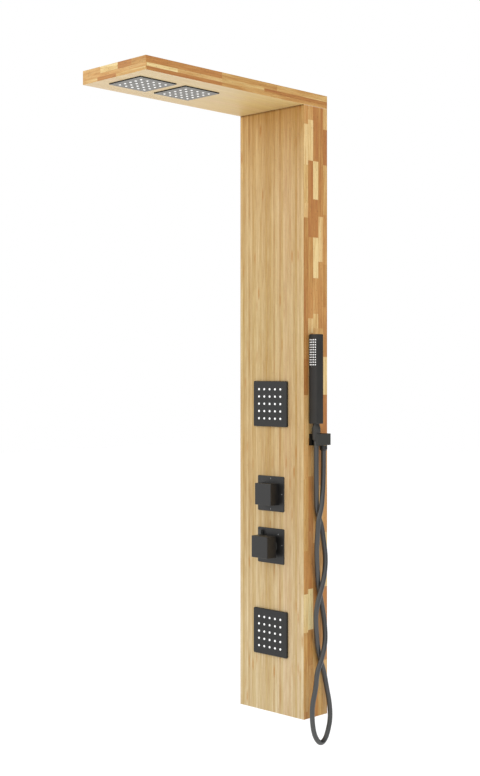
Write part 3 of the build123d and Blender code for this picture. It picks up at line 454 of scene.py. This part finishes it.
side_rows = [-69.6, -51.2, -32.8, -14.4]
arm_rows = [arm_bottom + 8.5, arm_bottom + 16.5]
pale, dark, red = 0.02, 0.86, 0.97
right_features = {
    0: [(-1315, -1125, 0.52), (-1125, -1035, 0.08), (-1035, -927, 0.6), (-927, -754, 0.46),
        (-754, -555, 0.3), (-555, -465, 0.92), (-122, -89, 0.2), (-89, 0, 0.35), (0, 100, pale)],
    1: [(-1303, -1208, 0.45), (-1208, -1117, 0.75), (-1117, -1018, pale), (-402, -368, 0.2),
        (-172, 15, 0.8), (15, 110, 0.12)],
    2: [(-390, -358, 0.25), (-358, -270, 0.5), (-270, -172, 0.04), (-172, -79, 0.85),
        (-79, 15, 0.1), (15, 150, 0.76)],
    3: [(-1330, -1190, 0.4), (-1190, -1015, 0.72), (-392, -228, 0.6), (-228, -116, 0.15),
        (-116, 150, 0.74)],
    4: [(-1330, -1200, 0.3), (-1200, -1018, 0.8), (-1018, -890, 0.15), (-660, -555, dark),
        (-555, -458, 0.08), (-115, 6, 0.45), (6, 97, red), (97, 150, 0.35)],
}
rail_features = {
    0: [(-586, -361, dark), (-361, -150, 0.55)],
    1: [(-586, -497, 0.08), (-497, -361, 0.3), (-224, -2, 0.9)],
    2: [(-573, -361, 0.75), (-361, -180, 0.5), (-180, 0, 0.42)],
}
nose_features = {
    0: [(-56, 8, 0.85)],
    2: [(-46, 14, 0.15), (14, 60, 0.8)],
}

# Drift of the colour along the boards, with painted shade towards the arm: place, then the factor there

front_tints_and_shade = [
    (-1330, (1.03, 1.16, 1.4, 1.0)),
    (-1050, (1.02, 1.11, 1.28, 1.0)),
    (-700, (0.94, 0.94, 0.92, 1.0)),
    (-380, (0.95, 0.99, 0.99, 1.0)),
    (-60, (0.98, 0.96, 0.92, 1.0)),
    # From here up the board grows more orange, and darker with painted shade under the arm; the joint at the
    # arm's foot is painted near black as shade
    (60, (0.94, 0.86, 0.7, 1.0)),
    (147.6, (0.9, 0.74, 0.48, 1.0)),
    (149.2, (0.35, 0.24, 0.12, 1.0)),
    (150, (0.35, 0.24, 0.12, 1.0)),
]
# Soffit: darker and yellower towards the column at its back end, painted shade and the column's colour
# painted in as reflection
soffit_tints_and_shade = [
    (-587, (0.96, 0.97, 1.06, 1.0)),
    (-330, (0.94, 0.95, 0.99, 1.0)),
    (-200, (0.96, 0.93, 0.8, 1.0)),
    (-85, (0.92, 0.86, 0.66, 1.0)),
]

# Seeds of the blocks that are drawn at random
right_seed, left_seed = 5, 57
right_rail_seed, left_rail_seed = 3, 8
nose_seed = 4

strip_width = 6.6
wide_strip = 7.0
# Place of the pale painted highlight along the top edge of the right side blocks
seam_highlight_z = 149.4
# Height above which the rain heads' side faces are painted near black as shade
skirt_z = 147.6
# Place on x before which the holder is painted near black as shade
holder_shade_x = 116.0


def make_materials():
    """Every material of the part by a short name."""
    low, high = column_bottom, arm_bottom
    left_rows = [front_y - edge for edge in reversed(side_rows)]
    return {
        "front": strip_wood("front_bamboo", (2, 0), strip_width, (192, 160, 110), 30, 0.85,
                            tints=front_tints_and_shade),
        "soffit": strip_wood("soffit_bamboo", (1, 0), wide_strip, (216, 192, 146), 9, 0.1,
                             seed=40.0, tints=soffit_tints_and_shade),
        "top": strip_wood("top_bamboo", (1, 0), strip_width, (208, 171, 120), 20, 0.5, seed=80.0),
        "bottom": strip_wood("bottom_bamboo", (0, 1), strip_width, (205, 168, 118), 18, 0.4, seed=120.0),
        "inner": strip_wood("inner_bamboo", (0, 2), wide_strip, (200, 164, 116), 20, 0.4, seed=160.0),
        "right": block_wood("right_side_blocks", (2, 1), side_rows, low, high, right_seed, right_features,
                            seam_highlight_z),
        "left": block_wood("left_side_blocks", (2, 1), left_rows, low, high, left_seed),
        "right_rail": block_wood("right_rail_blocks", (1, 2), arm_rows, nose_y, 0, right_rail_seed,
                                 rail_features),
        "left_rail": block_wood("left_rail_blocks", (1, 2), arm_rows, nose_y, 0, left_rail_seed),
        "nose": block_wood("nose_blocks", (0, 2), arm_rows, -side_x, side_x, nose_seed, nose_features),
        "metal": coated("black_powder_coat", linear(21, 20, 19), 0.45, 2600.0, 0.18, specular=0.58),
        "face": coated("black_spray_face", linear(22, 22, 21), 0.45, 2200.0, 0.12, specular=0.45),
        # Painted shade: the rain heads' side faces near the soffit, above the skirt's place, are near black
        "head": coated("rain_head_coat", linear(128, 127, 124), 0.5, 2200.0, 0.12, specular=0.2,
                       rim=(2, skirt_z, linear(10, 10, 10))),
        "plastic": coated("black_plastic", linear(46, 45, 43), 0.5, 1800.0, 0.12, specular=0.25),
        # Painted shade: the holder is near black beside the board, where the hand shower shades it, and its
        # own dark grey past the place on x
        "holder": coated("black_holder_coat", linear(8, 8, 6), 0.5, 1800.0, 0.15, specular=0.2,
                         rim=(0, holder_shade_x, linear(56, 56, 53))),
        # Painted light: the tab is painted lighter than the black coat, to show bright although the knob
        # above shades it
        "tab": coated("tab_coat_painted_lighter", linear(60, 60, 58), 0.5, 1800.0, 0.15, specular=0.4),
        "nut": coated("black_nut_coat", linear(50, 49, 46), 0.45, 1800.0, 0.15, specular=0.4),
        "moulding": coated("black_moulding", linear(40, 40, 40), 0.55, 1500.0, 0.2),
        "hose": coated("hose_skin", linear(48, 49, 48), 0.36, 900.0, 0.08, specular=0.8),
        # Painted light: the silicone nozzles glow a little in their own white
        "silicone": coated("silicone", linear(250, 250, 249), 0.5, 1200.0, 0.08, spread=0.02, glow=0.15),
        "pipe": coated("pipe_plastic", linear(205, 208, 208), 0.4, 700.0, 0.06, spread=0.05),
        "mark": coated("mark_paint", linear(132, 133, 133), 0.55, 1600.0, 0.05, spread=0.06),
        "brass": metal("brass", linear(190, 160, 106), 0.38, 1, 30.0),
        "steel": metal("zinc_steel", linear(178, 180, 182), 0.36, 0, 24.0),
    }


materials = {}


def dress(material, *names):
    """Gives CAD nodes a material; their meshes stay as they are."""
    for name in names:
        mesh = nodes[name].data
        mesh.materials.clear()
        mesh.materials.append(materials[material])


def dress_nodes():
    dress("front", "front_board")
    dress("right", "right_side_board")
    dress("left", "left_side_board")
    dress("bottom", "bottom_board")
    dress("inner", "cross_battens", "arm_back_rail")
    dress("top", "arm_top_board")
    dress("soffit", "arm_soffit_board")
    dress("nose", "arm_nose_board")
    dress("right_rail", "arm_right_rail")
    dress("left_rail", "arm_left_rail")
    dress("steel", "wall_brackets", "rain_head_screws", "holder_screws")
    dress("steel", "diverter_knob_screw", "flow_knob_screw")
    dress("face", "upper_jet_face", "lower_jet_face")
    dress("head", "front_rain_head_face", "rear_rain_head_face")
    dress("metal", "diverter_escutcheon", "mixer_escutcheon", "diverter_knob", "flow_knob")
    dress("metal", "hand_shower_neck", "outlet_hose_nut")
    dress("holder", "shower_holder")
    dress("tab", "temperature_ring")
    dress("plastic", "hand_shower_body", "hand_shower_face")
    dress("moulding", "upper_jet_body", "lower_jet_body", "front_rain_head_body", "rear_rain_head_body")
    dress("moulding", "jet_nuts", "control_nuts")
    dress("pipe", "riser_pipe", "jets_feed_pipe", "upper_jet_pipe", "lower_jet_pipe", "rain_pipe")
    dress("pipe", "rain_link_pipe", "hand_shower_pipe")
    dress("brass", "diverter_valve", "mixer_valve", "jets_tee", "outlet_spigot", "outlet_lock_nut")
    dress("brass", "outlet_nipple", "diverter_spindle", "mixer_spindle", "temperature_sleeve")


# Pieces made of mesh code

def make_piece(name, vertices, faces, material, body, slot, smooth_angle=35.0):
    """Mesh object in the shared frame, from millimetre vertices, that rides on a body."""
    mesh = bpy.data.meshes.new(name)
    mesh.from_pydata([Vector(vertex) * MM for vertex in vertices], [], faces)
    mesh.materials.append(materials[material])
    piece = bpy.data.objects.new(name, mesh)
    bpy.context.collection.objects.link(piece)
    mesh.polygons.foreach_set("use_smooth", [True] * len(mesh.polygons))
    mesh.set_sharp_from_angle(angle=math.radians(smooth_angle))
    if body:
        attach(piece, body)
    return piece


def turned_shell(rings, sides, place):
    """Closed turned shell. Each ring is a radius or a function of the angle, and a height along the axis."""
    vertices, faces = [], []
    for radius, height in rings:
        for step in range(sides):
            angle = 2 * math.pi * step / sides
            reach = radius(angle) if callable(radius) else radius
            vertices.append(place @ Vector((reach * math.cos(angle), reach * math.sin(angle), height)))
    for ring in range(len(rings) - 1):
        for step in range(sides):
            after = (step + 1) % sides
            low, high = ring * sides, (ring + 1) * sides
            faces.append((low + step, low + after, high + after, high + step))
    faces.append(tuple(reversed(range(sides))))
    last = (len(rings) - 1) * sides
    faces.append(tuple(range(last, last + sides)))
    return vertices, faces


def gather(shells):
    """Several shells as one list of vertices and one of faces."""
    vertices, faces = [], []
    for some_vertices, some_faces in shells:
        start = len(vertices)
        vertices.extend(some_vertices)
        faces.extend(tuple(start + index for index in face) for face in some_faces)
    return vertices, faces


def block_shell(width, height, low, high, edge, place):
    """Closed rectangular plate with eased edges, flat on the plane of the place."""
    outlines = []
    for inset, level in ((edge, low), (0.0, low + edge), (0.0, high - edge), (edge, high)):
        half_width, half_height = width / 2 - inset, height / 2 - inset
        corners = [(half_width, half_height), (-half_width, half_height),
                   (-half_width, -half_height), (half_width, -half_height)]
        outlines.append([place @ Vector((x, y, level)) for x, y in corners])
    vertices = [vertex for outline in outlines for vertex in outline]
    faces = [(3, 2, 1, 0), (12, 13, 14, 15)]
    for ring in range(3):
        for step in range(4):
            after = (step + 1) % 4
            faces.append((4 * ring + step, 4 * ring + after, 4 * ring + 4 + after, 4 * ring + 4 + step))
    return vertices, faces


def facing(origin, out, right):
    """Matrix whose local Z is the given outward direction and local X the given right."""
    z_axis = Vector(out).normalized()
    x_axis = Vector(right).normalized()
    y_axis = z_axis.cross(x_axis)
    turn = Matrix((x_axis, y_axis, z_axis)).transposed()
    return Matrix.Translation(Vector(origin)) @ turn.to_4x4()


def nozzle_rings(radius, bore, length):
    """Rubber nozzle: a straight root, a rounded shoulder and a small bore in its tip."""
    return [
        (radius, -nozzle_root),
        (radius, length - 1.1),
        (radius * 0.97, length - 0.75),
        (radius * 0.88, length - 0.36),
        (radius * 0.74, length - 0.12),
        (radius * 0.56, length),
        (bore * 1.3, length),
        (bore, length - 0.15),
        (bore, length - 1.0),
    ]


def nozzle_mat(name, place, size, thickness, rows, pitches, radius, bore, length, sides, body):
    """Nozzle mat behind a spray face; local Z points out, the mat's front is at zero."""
    shells = [block_shell(size[0], size[1], -thickness, 0.0, mat_edge, place)]
    rings = nozzle_rings(radius, bore, length)
    for column in range(rows[0]):
        for row in range(rows[1]):
            x = (column - (rows[0] - 1) / 2) * pitches[0]
            y = (row - (rows[1] - 1) / 2) * pitches[1]
            shells.append(turned_shell(rings, sides, place @ Matrix.Translation((x, y, 0))))
    piece = make_piece(name, *gather(shells), "silicone", body, "silicone", smooth_angle=50.0)
    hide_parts(name.replace("_soft", ""))


# Nozzle mats of the jets and rain heads, then those of the hand shower

mat_thickness = 2.0
mat_edge = 0.2
nozzle_root = 0.2
mat_size = 97.4
head_mat_size = 95.4
jet_mat_depth = 4.0
head_mat_depth = 0.5
nozzle_rows = (5, 5)
nozzle_pitch = 18.0
nozzle_radius = 2.75
nozzle_length = 3.3
nozzle_bore = 0.4
nozzle_sides = 20

hand_mat_size = (21.4, 72.0)
hand_mat_y = -68.0
hand_mat_z = -446.4
hand_nozzle_rows = (4, 11)
hand_nozzle_pitches = (5.6, 6.0)
hand_nozzle_radius = 1.6
hand_nozzle_length = 2.3
hand_nozzle_bore = 0.25
hand_nozzle_sides = 18


def make_nozzles():
    for name, z in jet_heights.items():
        place = facing((0, front_y - jet_mat_depth, z), (0, -1, 0), (1, 0, 0))
        nozzle_mat(f"{name}_nozzles_soft", place, (mat_size, mat_size), mat_thickness, nozzle_rows,
                   (nozzle_pitch, nozzle_pitch), nozzle_radius, nozzle_bore, nozzle_length,
                   nozzle_sides, "casing")
    for name, y in head_places.items():
        place = facing((0, y, arm_bottom - head_mat_depth), (0, 0, -1), (1, 0, 0))
        nozzle_mat(f"{name}_nozzles_soft", place, (head_mat_size, head_mat_size), mat_thickness, nozzle_rows,
                   (nozzle_pitch, nozzle_pitch), nozzle_radius, nozzle_bore, nozzle_length,
                   nozzle_sides, "casing")
    place = facing((hand_axis[0], hand_mat_y, hand_mat_z), (0, -1, 0), (1, 0, 0))
    nozzle_mat("hand_shower_nozzles_soft", place, hand_mat_size, mat_thickness, hand_nozzle_rows,
               hand_nozzle_pitches, hand_nozzle_radius, hand_nozzle_bore, hand_nozzle_length,
               hand_nozzle_sides, "hand_shower")


def flute(radius, depth, count):
    """Radius that dips into shallow flutes round the axis."""
    return lambda angle: radius - depth * max(0.0, math.cos(count * angle)) ** 3


nut_sides = 72
nut_flutes = 12


def make_hand_nut():
    """Long conical hose nut with grip flutes, in place of its plain solid."""
    place = Matrix.Translation((hand_axis[0], hand_axis[1], 0))
    rings = [
        (4.0, -660.8),
        (6.2, -660.8),
        (6.6, -660.3),
        (8.0, -656.8),
        (9.3, -656.8),
        (9.4, -656.4),
        (9.45, -655.0),
        (flute(9.55, 0.45, nut_flutes), -652.5),
        (flute(9.9, 0.5, nut_flutes), -643.0),
        (flute(10.3, 0.5, nut_flutes), -633.5),
        (10.35, -631.2),
        (10.4, -629.9),
        (10.2, -629.3),
        (8.2, -621.9),
        (7.9, -621.3),
        (7.05, -621.3),
        (7.05, -633.3),
        (4.0, -633.3),
    ]
    vertices, faces = turned_shell(rings, nut_sides, place)
    # The two end faces go, and the last ring joins the first round the bore
    faces = faces[:-2]
    last = (len(rings) - 1) * nut_sides
    for step in range(nut_sides):
        after = (step + 1) % nut_sides
        faces.append((last + step, last + after, after, step))
    piece = make_piece("hand_hose_nut_fluted", vertices, faces, "nut", "hand_shower", "black_metal",
                       smooth_angle=28.0)
    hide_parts("hand_hose_nut")
    return piece


# Plain marks on the two control plates: short bars that point at the knob

plate_front = -87.5
mark_length = 3.4
mark_width = 1.8
mark_thickness = 0.12
mark_root = 0.05
mark_places = [(0.0, 37.5, diverter_z), (37.5, 0.0, diverter_z), (0.0, -37.5, diverter_z),
               (25.5, 29.5, mixer_z), (37.5, 3.5, mixer_z)]


def make_marks():
    shells = []
    for x, z, centre in mark_places:
        place = facing((x, plate_front, centre + z), (0, -1, 0), (x, 0, z))
        shells.append(block_shell(mark_length, mark_width, -mark_root, mark_thickness, mark_root, place))
    make_piece("plate_marks", *gather(shells), "mark", "casing", "black_metal")


# Pipe threads on the two inlets, which show from behind

inlet_x = 75.0
thread_radius = 10.48
thread_depth = 0.55
thread_root = 0.2
thread_half_width = 0.62
thread_pitch = 1.814
thread_span = (-9.0, -21.0)
thread_steps = 28


def make_threads():
    shells = []
    turns = (thread_span[0] - thread_span[1]) / thread_pitch
    for side in (-1, 1):
        vertices, faces = [], []
        count = int(turns * thread_steps)
        for index in range(count + 1):
            angle = 2 * math.pi * index / thread_steps
            y = thread_span[0] - thread_pitch * index / thread_steps
            fade = min(1.0, index / thread_steps, (count - index) / thread_steps)
            corners = [(-thread_root, -thread_half_width), (thread_depth * fade, 0.0),
                       (-thread_root, thread_half_width)]
            for rise, offset in corners:
                reach = thread_radius + rise
                vertices.append((side * inlet_x + reach * math.cos(angle), y + offset,
                                 mixer_z + reach * math.sin(angle)))
        for index in range(count):
            low, high = 3 * index, 3 * index + 3
            for first, second in ((0, 1), (1, 2), (2, 0)):
                faces.append((low + first, high + first, high + second, low + second))
        faces.append((0, 1, 2))
        faces.append((3 * count + 2, 3 * count + 1, 3 * count))
        shells.append((vertices, faces))
    make_piece("inlet_threads", *gather(shells), "brass", "casing", "brass", smooth_angle=20.0)


# Hose: the same route as the solid, in metres, drawn as one smooth spline

hose_radius = 6.0
hose_sides = 24
hose_resolution = 12

hose_route = [
    (0.1225, -0.0573, -0.6608),
    (0.1225, -0.0573, -0.712),
    (0.122, -0.0565, -0.762),
    (0.1176, -0.051, -0.802),
    (0.115, -0.0455, -0.834),
    (0.115, -0.029, -0.866),
    (0.1186, -0.026, -0.902),
    (0.1235, -0.0235, -0.944),
    (0.1282, -0.033, -0.984),
    (0.1308, -0.047, -1.016),
    (0.1308, -0.061, -1.046),
    (0.1274, -0.065, -1.08),
    (0.121, -0.055, -1.122),
    (0.1158, -0.045, -1.158),
    (0.1148, -0.0335, -1.192),
    (0.116, -0.0215, -1.222),
    (0.1205, -0.017, -1.26),
    (0.1235, -0.009, -1.3),
    (0.1255, -0.0085, -1.336),
    (0.1265, -0.018, -1.364),
    (0.1268, -0.0285, -1.383),
    (0.1268, -0.043, -1.391),
    (0.1268, -0.0575, -1.383),
    (0.1265, -0.07, -1.362),
    (0.126, -0.076, -1.33),
    (0.1265, -0.076, -1.292),
    (0.129, -0.065, -1.252),
    (0.131, -0.0645, -1.216),
    (0.131, -0.0465, -1.186),
    (0.1276, -0.0295, -1.15),
    (0.12, -0.0225, -1.11),
    (0.116, -0.0255, -1.072),
    (0.1148, -0.033, -1.04),
    (0.1158, -0.0425, -1.008),
    (0.12, -0.051, -0.968),
    (0.1245, -0.0585, -0.922),
    (0.129, -0.0595, -0.882),
    (0.131, -0.0595, -0.85),
    (0.1306, -0.0465, -0.82),
    (0.126, -0.0375, -0.782),
    (0.1225, -0.0308, -0.736),
    (0.1225, -0.0308, -0.6845),
]


def spline_points(route):
    """Points along the route's own smooth spline."""
    data = bpy.data.curves.new("route", "CURVE")
    data.dimensions = "3D"
    data.resolution_u = hose_resolution
    spline = data.splines.new("NURBS")
    spline.points.add(len(route) - 1)
    for point, place in zip(spline.points, route):
        point.co = (*place, 1.0)
    spline.order_u = 3
    spline.use_endpoint_u = True
    holder = bpy.data.objects.new("route", data)
    bpy.context.collection.objects.link(holder)
    bpy.context.view_layer.update()
    line = bpy.data.meshes.new_from_object(holder.evaluated_get(bpy.context.evaluated_depsgraph_get()))
    points = [vertex.co.copy() for vertex in line.vertices]
    bpy.data.objects.remove(holder)
    bpy.data.curves.remove(data)
    bpy.data.meshes.remove(line)
    return points


def tube_shell(points, radius, sides):
    """Closed round tube along points, in millimetres, with frames carried along without twist."""
    vertices, faces = [], []
    side = None
    for index, point in enumerate(points):
        before = points[max(index - 1, 0)]
        after = points[min(index + 1, len(points) - 1)]
        forward = (after - before).normalized()
        if side is None:
            side = forward.orthogonal()
        side = (side - forward * side.dot(forward)).normalized()
        other = forward.cross(side)
        for step in range(sides):
            angle = 2 * math.pi * step / sides
            offset = side * math.cos(angle) + other * math.sin(angle)
            vertices.append((point / MM) + offset * radius)
    for ring in range(len(points) - 1):
        for step in range(sides):
            after = (step + 1) % sides
            low, high = ring * sides, (ring + 1) * sides
            faces.append((low + step, low + after, high + after, high + step))
    faces.append(tuple(reversed(range(sides))))
    last = (len(points) - 1) * sides
    faces.append(tuple(range(last, last + sides)))
    return vertices, faces


def make_hose():
    points = spline_points(hose_route)
    vertices, faces = tube_shell(points, hose_radius, hose_sides)
    hose = make_piece("hose_tube", vertices, faces, "hose", None, "hose", smooth_angle=60.0)
    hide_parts("hose")
    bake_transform(hose)


# Stage

floor_level = -1720.0
floor_half = 14.0
floor_albedo = 0.97
floor_glow = 0.12
shine_direction = (-0.15, -1.0, 0.1)
shine_range = (-0.6, 0.75, 0.03, 1.1)
white = (1.0, 1.0, 1.0, 1.0)

# Area lights: name, place, target, size and power
lights = [
    ("key", (-1300, -2600, 700), (0, -100, -500), 1800, 16.0),
    ("fill", (2600, -900, 100), (50, -200, -600), 1600, 8.0),
]


def make_world():
    """White studio. What shines off the part is bright from the front and dim from behind."""
    world = bpy.data.worlds.new("studio")
    world.use_nodes = True
    tree = world.node_tree
    background = tree.nodes["Background"]
    rays = tree.nodes.new("ShaderNodeLightPath")
    place = tree.nodes.new("ShaderNodeTexCoord")
    towards = tree.nodes.new("ShaderNodeVectorMath")
    towards.operation = "DOT_PRODUCT"
    towards.inputs[1].default_value = shine_direction
    tree.links.new(place.outputs["Generated"], towards.inputs[0])
    shine = tree.nodes.new("ShaderNodeMapRange")
    for socket, value in zip(list(shine.inputs)[1:5], shine_range):
        socket.default_value = value
    tree.links.new(towards.outputs["Value"], shine.inputs[0])
    chosen = tree.nodes.new("ShaderNodeMix")
    chosen.inputs[2].default_value = 1.0
    tree.links.new(rays.outputs["Is Glossy Ray"], chosen.inputs[0])
    tree.links.new(shine.outputs[0], chosen.inputs[3])
    tree.links.new(chosen.outputs[0], background.inputs["Strength"])
    background.inputs["Color"].default_value = white
    bpy.context.scene.world = world


def make_stage():
    mesh = bpy.data.meshes.new("floor")
    corners = [(-floor_half, -floor_half), (floor_half, -floor_half),
               (floor_half, floor_half), (-floor_half, floor_half)]
    mesh.from_pydata([(x, y, floor_level * MM) for x, y in corners], [], [(0, 1, 2, 3)])
    graph = Graph("floor_paint", roughness=0.9)
    graph.surface("Base Color", (floor_albedo, floor_albedo, floor_albedo, 1.0))
    graph.surface("Emission Color", white)
    graph.surface("Emission Strength", floor_glow)
    mesh.materials.append(graph.material)
    floor = bpy.data.objects.new("floor", mesh)
    bpy.context.collection.objects.link(floor)

    make_world()
    for name, place, target, size, power in lights:
        data = bpy.data.lights.new(name, "AREA")
        data.shape = "SQUARE"
        data.size = size * MM
        data.energy = power
        light = bpy.data.objects.new(name, data)
        light.location = metres(*place)
        aim = metres(*target) - light.location
        light.rotation_euler = aim.to_track_quat("-Z", "Y").to_euler()
        bpy.context.collection.objects.link(light)


make_camera()
materials.update(make_materials())
hand_nut = make_hand_nut()
make_hose()
dress_nodes()
make_nozzles()
make_marks()
make_threads()
make_stage()
bpy.context.scene.view_settings.view_transform = "Standard"

bpy.context.view_layer.update()
